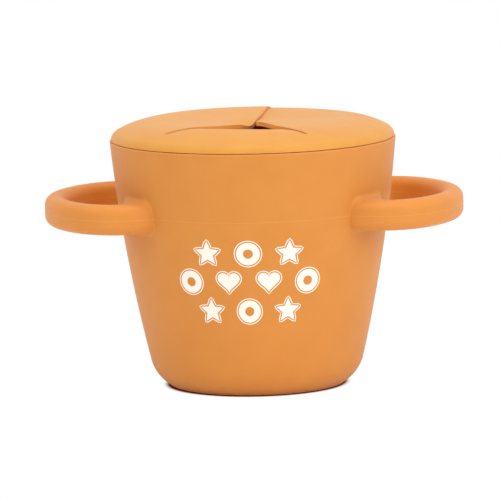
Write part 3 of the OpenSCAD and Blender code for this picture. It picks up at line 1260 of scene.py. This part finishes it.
@dataclass
class PartingLine:
    """The fine raised line that the mould's two halves leave round the cup and along the handles."""

    cup: CupShell
    handles: list[LoopHandle]
    material: bpy.types.Material
    z: float
    bead_r: float = 0.17
    sunk: float = 0.11
    spacing: float = 0.8
    bead_sides: int = 8
    # The search for the skin: from outside_r in to wall_r round the cup, and out to opening_r in an opening
    outside_r: float = 76.0
    wall_r: float = 36.0
    opening_r: float = 34.0
    rays: int = 1440
    opening_rays: int = 480
    samples: int = 140
    halvings: int = 24

    def _outside(self, plan: Points) -> Points:
        """Says which places at the line's height lie outside the skin drawn in by the sunk depth.

        Args:
            plan: Places in plan, one a row.

        Returns:
            One truth value a row.
        """
        points = np.column_stack([plan, np.full(len(plan), self.z)])
        right = points[:, 0] > 0
        out = np.empty(len(points))
        for handle in self.handles:
            here = right if handle.side is Side.RIGHT else ~right
            out[here] = handle.distance(points[here])
        return out + self.sunk > 0

    def _crossing(self, centre: Points, start: float, stop: float, count: int) -> Points:
        """Finds the first place on each ray from a centre where the skin is met.

        Args:
            centre: Where the rays start, in plan.
            start: Distance along each ray where the search starts.
            stop: Distance where it ends.
            count: How many rays.

        Returns:
            One plan point a ray.
        """
        ways = around(count)
        reach = np.linspace(start, stop, self.samples)
        plan = centre + ways[:, None] * reach[None, :, None]
        outside = self._outside(plan.reshape(-1, 2)).reshape(count, -1)
        index = np.argmax(~outside, axis=1)
        far, near = reach[index], reach[np.maximum(index - 1, 0)]
        for _ in range(self.halvings):
            middle = (far + near) / 2
            out = self._outside(centre + ways * middle[:, None])
            near, far = np.where(out, middle, near), np.where(out, far, middle)
        return centre + ways * ((far + near) / 2)[:, None]

    def _tree(self) -> Tree:
        """Draws up the nodes that sweep a round bead along a path.

        Returns:
            The geometry node tree.
        """
        tree = bpy.data.node_groups.new("parting_bead", "GeometryNodeTree")
        for way in ("INPUT", "OUTPUT"):
            tree.interface.new_socket("Geometry", in_out=way, socket_type="NodeSocketGeometry")
        for name in ("Bead Radius", "Spacing"):
            tree.interface.new_socket(name, in_out="INPUT", socket_type="NodeSocketFloat")
        tree.interface.new_socket("Material", in_out="INPUT", socket_type="NodeSocketMaterial")
        given = add_node(tree, "NodeGroupInput").outputs
        path = add_node(tree, "GeometryNodeMeshToCurve", {"Mesh": given["Geometry"]}).outputs["Curve"]
        even = add_node(
            tree, "GeometryNodeResampleCurve", {"mode": "LENGTH", "Curve": path, "Length": given["Spacing"]}
        )
        bead = add_node(
            tree, "GeometryNodeCurvePrimitiveCircle",
            {"Resolution": self.bead_sides, "Radius": given["Bead Radius"]},
        )
        swept = add_node(
            tree, "GeometryNodeCurveToMesh",
            {"Curve": even.outputs["Curve"], "Profile Curve": bead.outputs["Curve"]},
        )
        real = add_node(tree, "GeometryNodeRealizeInstances", {"Geometry": swept.outputs["Mesh"]})
        dressed = add_node(
            tree, "GeometryNodeSetMaterial",
            {"Geometry": real.outputs["Geometry"], "Material": given["Material"]},
        )
        add_node(tree, "NodeGroupOutput", {"Geometry": dressed.outputs["Geometry"]})
        return tree

    def build(self) -> list[bpy.types.Object]:
        """Builds the line as one bead round the cup and each finger opening.

        Returns:
            The one piece made.
        """
        loops = [self._crossing(np.zeros(2), self.outside_r, self.wall_r, self.rays)]
        middle = (self.cup.outer_radius(self.z) + self.handles[0].reach - self.handles[0].band_w) / 2
        for handle in self.handles:
            centre = np.array([float(middle) * handle.side.value, 0.0])
            loops.append(self._crossing(centre, 0.0, self.opening_r, self.opening_rays))
        points, edges = [], []
        for loop in loops:
            first = len(points)
            points += [[x * MM, y * MM, self.z * MM] for x, y in loop]
            edges += [[first + i, first + (i + 1) % len(loop)] for i in range(len(loop))]
        mesh = bpy.data.meshes.new("parting_path")
        mesh.from_pydata(points, edges, [])
        piece = linked(bpy.data.objects.new("parting_line", mesh))
        modifier = piece.modifiers.new("bead", "NODES")
        modifier.node_group = self._tree()
        items = modifier.node_group.interface.items_tree
        sockets = {item.name: item.identifier for item in items if item.in_out == "INPUT"}
        modifier[sockets["Bead Radius"]] = self.bead_r * MM
        modifier[sockets["Spacing"]] = self.spacing * MM
        modifier[sockets["Material"]] = self.material
        plain = plain_mesh(piece)
        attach(plain, "cup_body")
        return [plain]


def plain_mesh(piece: bpy.types.Object) -> bpy.types.Object:
    """Turns a piece's modifiers into its mesh.

    Args:
        piece: An object with live modifiers.

    Returns:
        The same object with a plain, smooth mesh.
    """
    bpy.context.view_layer.update()
    evaluated = piece.evaluated_get(bpy.context.evaluated_depsgraph_get())
    mesh = bpy.data.meshes.new_from_object(evaluated)
    piece.modifiers.clear()
    piece.data = mesh
    mesh.polygons.foreach_set("use_smooth", [True] * len(mesh.polygons))
    return piece


class Motif(Enum):
    """Plain shapes in the print."""

    STAR = "star"
    RING = "ring"
    HEART = "heart"


@dataclass
class WallPrint:
    """A generic white print on the front: small outlined shapes in staggered rows."""

    cup: CupShell
    material: bpy.types.Material
    # Middle of the print: height up the wall, and turn from the front
    middle_z: float = 39.0
    turn: float = -1.5
    pitch: float = 13.0
    row_pitch: float = 9.6
    # A motif's radius, and as shares of it a star's tips and notches and the bore of a ring and of the rest
    size: float = 3.7
    star_tip: float = 1.12
    star_notch: float = 0.52
    ring_bore: float = 0.42
    bore: float = 0.02
    # The fine line round each motif, and the film of ink
    line_gap: float = 0.42
    line_w: float = 0.3
    ink_t: float = 0.03
    corners: int = 160
    band_steps: int = 7
    sharp_deg: float = 40.0
    rows: tuple[tuple[Motif, ...], ...] = (
        (Motif.STAR, Motif.RING, Motif.STAR),
        (Motif.RING, Motif.HEART, Motif.HEART, Motif.RING),
        (Motif.STAR, Motif.RING, Motif.STAR),
    )

    def _outline(self, motif: Motif) -> Points:
        """Draws a motif about its own middle.

        Args:
            motif: Which one.

        Returns:
            Its outline, anticlockwise.
        """
        angle = 2 * math.pi * np.arange(self.corners) / self.corners
        if motif is Motif.HEART:
            # The usual heart curve, 33 units wide, lifted by 2.5 to centre it
            x = 16 * np.sin(angle) ** 3
            y = 13 * np.cos(angle) - 5 * np.cos(2 * angle) - 2 * np.cos(3 * angle) - np.cos(4 * angle)
            return np.stack([-x, y + 2.5], axis=1) * self.size / 16.5
        radius = np.full(self.corners, self.size)
        if motif is Motif.STAR:
            # Straight edges, each from a tip to a notch a tenth of a turn on
            lobe = np.abs(((angle - math.pi / 2) * 5 / (2 * math.pi)) % 1 - 0.5) * 2
            tip, notch = self.size * self.star_tip, self.size * self.star_notch
            tenth = math.pi / 5
            turn = (1 - lobe) * tenth
            radius = tip * notch * math.sin(tenth) / (notch * np.sin(tenth - turn) + tip * np.sin(turn))
        return np.stack([radius * np.cos(angle), radius * np.sin(angle)], axis=1)

    @staticmethod
    def _grown(outline: Points, by: float) -> Points:
        """An outline moved outward, with its corners kept rounded."""
        way = np.roll(outline, -1, axis=0) - np.roll(outline, 1, axis=0)
        return outline + by * way[:, ::-1] * [1, -1] / np.linalg.norm(way, axis=1, keepdims=True)

    def _bands(self, motif: Motif) -> list[tuple[Points, Points]]:
        """Splits a motif into its inked bands.

        Args:
            motif: Which one.

        Returns:
            Each band's inner and outer edge.
        """
        shape = self._outline(motif)
        bore = self.ring_bore if motif is Motif.RING else self.bore
        line = [self._grown(shape, by) for by in (self.line_gap, self.line_gap + self.line_w)]
        return [(shape * bore, shape), (line[0], line[1])]

    def _on_wall(self, plan: Points, lift: float) -> Points:
        """Wraps flat places onto the wall.

        Args:
            plan: Places across and up from the print's middle.
            lift: How far they stand off the wall.

        Returns:
            Places in the frame.
        """
        z = self.middle_z + plan[:, 1]
        radius = self.cup.outer_radius(z)
        angle = math.radians(-90 + self.turn) + plan[:, 0] / float(self.cup.outer_radius(self.middle_z))
        flat = np.stack([radius * np.cos(angle), radius * np.sin(angle), z], axis=1)
        return flat + lift * self.cup.wall_normal(flat)

    def build(self) -> list[bpy.types.Object]:
        """Builds the print as closed films of ink on the wall.

        Returns:
            The one piece made.
        """
        points, faces = [], []
        for row, motifs in enumerate(self.rows):
            y = (len(self.rows) / 2 - 0.5 - row) * self.row_pitch
            for column, motif in enumerate(motifs):
                x = (column - (len(motifs) - 1) / 2) * self.pitch
                for inner, outer in self._bands(motif):
                    self._add_band(points, faces, inner + [x, y], outer + [x, y])
        piece = mesh_object("front_print", np.vstack(points), faces, self.material)
        piece.data.set_sharp_from_angle(angle=math.radians(self.sharp_deg))
        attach(piece, "cup_body")
        return [piece]

    def _add_band(
        self, points: list[Points], faces: list[list[int]], inner: Points, outer: Points
    ) -> None:
        """Adds one closed band of ink.

        Args:
            points: The print's points so far, which the band's are added to.
            faces: The print's faces so far, likewise.
            inner: The band's inner edge, flat.
            outer: Its outer edge.
        """
        shares = np.linspace(0, 1, self.band_steps + 1)[:, None, None]
        grid = (1 - shares) * inner[None] + shares * outer[None]
        first = sum(len(p) for p in points)
        flat = grid.reshape(-1, 2)
        under = len(flat)
        points += [self._on_wall(flat, self.ink_t), self._on_wall(flat, -self.ink_t)]
        number = first + np.arange(under).reshape(grid.shape[:2])
        after = np.roll(number, -1, axis=1)
        for i in range(self.band_steps):
            for a, b, c, d in zip(number[i], number[i + 1], after[i + 1], after[i]):
                faces += [[a, b, c, d], [under + d, under + c, under + b, under + a]]
        for a, b in (*zip(number[-1], after[-1]), *zip(after[0], number[0])):
            faces.append([a, under + a, under + b, b])


# ---- studio


@dataclass(frozen=True)
class Softbox:
    """One square soft light: where it stands and how wide it is, in metres, and its watts."""

    name: str
    place: tuple[float, float, float]
    width: float
    power: float

    def build(self, target: Vector) -> None:
        """Adds the light.

        Args:
            target: The point that it faces.
        """
        data = bpy.data.lights.new(self.name, "AREA")
        data.shape, data.size, data.energy = "SQUARE", self.width, self.power
        lamp = linked(bpy.data.objects.new(self.name, data))
        lamp.location = self.place
        lamp.rotation_euler = (target - Vector(self.place)).to_track_quat("-Z", "Y").to_euler()


@dataclass(frozen=True)
class WhiteCard:
    """White card that fades into the white background a little way from the cup, with a dark contact shadow
    painted into its colour round the cup's foot.
    """

    name: str
    colour: str = "#F6F4F2"
    # The foot's painted shadow, a dark ring painted into the card's colour as the camera sees it: its shift
    # left and forward, its colour, and how far out it turns to card
    painted_shadow_shift: tuple[float, float, float] = (0.2, 0.8, 0.0)
    painted_shadow_colour: str = "#8A2E08"
    painted_shadow_span: Span = (28.9, 30.6)
    # How far out the camera sees the card turn to white
    fade_span: Span = (28.9, 31.4)

    def material(self) -> bpy.types.Material:
        """Builds the finish as nodes.

        Returns:
            The material.
        """
        material, tree, output = new_material(self.name)
        place = add_node(tree, "ShaderNodeTexCoord").outputs["Object"]
        shift = tuple(s * MM for s in self.painted_shadow_shift)
        moved = add_node(tree, "ShaderNodeVectorMath", {"operation": "ADD", 0: place, 1: shift})
        out = add_node(tree, "ShaderNodeVectorMath", {"operation": "LENGTH", 0: moved.outputs["Vector"]})
        fade, near = (
            add_node(
                tree, "ShaderNodeMapRange",
                {
                    "interpolation_type": "SMOOTHSTEP", "From Min": low * MM, "From Max": high * MM,
                    "Value": out.outputs["Value"],
                },
            ).outputs["Result"]
            for low, high in (self.fade_span, self.painted_shadow_span)
        )
        camera_ray = add_node(tree, "ShaderNodeLightPath").outputs["Is Camera Ray"]
        seen = add_node(tree, "ShaderNodeMath", {"operation": "MULTIPLY", 0: camera_ray, 1: fade})
        # Close round the foot the card faces only the cup's underside, so the camera sees the painted
        # shadow colour there; light that bounces sees it white
        bounced = add_node(tree, "ShaderNodeMath", {"operation": "SUBTRACT", 0: 1.0, 1: camera_ray})
        white = add_node(tree, "ShaderNodeMath", {"operation": "MAXIMUM", 0: near, 1: bounced.outputs[0]})
        tone = add_node(
            tree, "ShaderNodeMix",
            {"data_type": "RGBA", 0: white.outputs[0], 6: srgb(self.painted_shadow_colour), 7: srgb(self.colour)},
        )
        card = add_node(tree, "ShaderNodeBsdfDiffuse", {"Color": tone.outputs[2]})
        glow = add_node(tree, "ShaderNodeEmission", {"Color": (1, 1, 1, 1), "Strength": 1.0})
        mixed = add_node(
            tree, "ShaderNodeMixShader", {0: seen.outputs[0], 1: card.outputs[0], 2: glow.outputs[0]}
        )
        tree.links.new(mixed.outputs[0], output.inputs["Surface"])
        return material


@dataclass
class Studio:
    """Plain soft light, a pale floor and the camera at the photograph's viewing angle."""

    # Camera: distance from the point it looks at, height of that point, and its angles in degrees
    distance: float = 1859.0
    target_z: float = 45.0
    elevation: float = 7.917
    azimuth: float = 1.6
    roll: float = -1.25
    focal_px: float = 5644.0
    frame_px: float = 500.0
    sensor: float = 36.0
    # Where the looked-at point lies in the picture
    target_px: Span = (254.98, 246.7)
    far_m: float = 100.0
    softboxes: tuple[Softbox, ...] = (
        Softbox("softbox_top", (0.0, -0.25, 1.15), 1.1, 7.6),
        Softbox("softbox_left", (-1.05, -0.85, 0.5), 0.8, 1.5),
        Softbox("softbox_right", (1.05, -0.85, 0.5), 0.8, 5.9),
    )
    # Light from all round, which the camera and reflections see as white
    fill: float = 0.74
    floor_r: float = 900.0
    floor_corners: int = 96

    @property
    def target(self) -> Vector:
        """The point that the camera and the lights face."""
        return Vector((0, 0, self.target_z * MM))

    def camera(self) -> None:
        """Places the camera."""
        data = bpy.data.cameras.new("camera")
        data.sensor_width = self.sensor
        data.lens = self.focal_px / self.frame_px * self.sensor
        data.clip_end = self.far_m
        data.shift_x = (self.frame_px / 2 - self.target_px[0]) / self.frame_px
        data.shift_y = (self.target_px[1] - self.frame_px / 2) / self.frame_px
        camera = linked(bpy.data.objects.new("camera", data))
        tilt, swing = math.radians(self.elevation), math.radians(self.azimuth)
        back = Vector((
            math.cos(tilt) * math.sin(swing), -math.cos(tilt) * math.cos(swing), math.sin(tilt)
        ))
        facing = back.to_track_quat("Z", "Y").to_matrix().to_4x4()
        spin = Matrix.Rotation(math.radians(self.roll), 4, "Z")
        camera.matrix_world = Matrix.Translation(self.target + back * self.distance * MM) @ facing @ spin
        bpy.context.scene.camera = camera

    def lights(self) -> None:
        """Adds the softboxes and the even fill of a light tent."""
        for softbox in self.softboxes:
            softbox.build(self.target)
        world = bpy.data.worlds.new("tent")
        bpy.context.scene.world = world
        world.use_nodes = True
        tree = world.node_tree
        tree.nodes.clear()
        path = add_node(tree, "ShaderNodeLightPath").outputs
        seen = path["Is Camera Ray"]
        for ray in (path["Is Glossy Ray"], path["Is Transmission Ray"]):
            seen = add_node(tree, "ShaderNodeMath", {"operation": "MAXIMUM", 0: seen, 1: ray}).outputs[0]
        dim, white = (
            add_node(tree, "ShaderNodeBackground", {"Color": (1, 1, 1, 1), "Strength": strength}).outputs[0]
            for strength in (self.fill, 1.0)
        )
        mixed = add_node(tree, "ShaderNodeMixShader", {0: seen, 1: dim, 2: white})
        add_node(tree, "ShaderNodeOutputWorld", {"Surface": mixed.outputs[0]})

    def floor(self) -> None:
        """Lays the floor."""
        count = self.floor_corners
        ring = np.column_stack([self.floor_r * around(count), np.zeros(count)])
        floor = mesh_object("floor", ring, [list(range(count))], WhiteCard("white_card").material())

    def build(self) -> None:
        """Sets up the whole studio."""
        bpy.context.scene.view_settings.view_transform = "Standard"
        self.camera()
        self.lights()
        self.floor()


# ---- putting it together


def main() -> None:
    """Builds every piece round the frame."""
    logging.basicConfig(level=logging.INFO, format="%(name)s: %(message)s")
    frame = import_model()
    cup_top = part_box("cup")[1]
    lid_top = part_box("lid")[1]
    cup_height, rim_r = cup_top.z / MM, cup_top.x / MM
    handle_low, handle_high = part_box("right_handle")

    cup_skin = SoftTouchSilicone("cup_silicone", "#E1943E", "#DE903A").material()
    lid_skin = SoftTouchSilicone("lid_silicone", "#E5A143", "#E29C3F").material()
    # The moulds part here; the thin edge they leave is coloured paler, a painted highlight for the light
    # its raised ridge catches from above
    flash_painted_highlight_skin = SoftTouchSilicone("cup_silicone_flash_painted_highlight", "#E89F4F", "#E59B4B").material()
    ink = SiliconeInk("white_silicone_ink").material()

    cup = CupShell(cup_skin, cup_height, rim_r)
    middle_z = (handle_low.z + handle_high.z) / 2 / MM
    # The mould line's bead makes up the last of the reach
    reach = handle_high.x / MM - (PartingLine.bead_r - PartingLine.sunk)
    handles = [LoopHandle(cup, cup_skin, side, reach, middle_z) for side in Side]
    lid = Lid(
        lid_skin,
        joints=frame["joints"],
        rim_z=cup_height,
        inner_radius=lambda z: float(cup.outer_radius(z)) - cup.wall_t,
        height=lid_top.z / MM - cup_height,
        edge_r=rim_r - Lid.rim_inset,
    )
    groups = [cup, *handles, lid, PartingLine(cup, handles, flash_painted_highlight_skin, middle_z), WallPrint(cup, ink)]
    for group in groups:
        for piece in group.build():
            LOG.info("%s: %d faces", piece.name, len(piece.data.polygons))
    Studio().build()


if __name__ == "__main__":
    main()
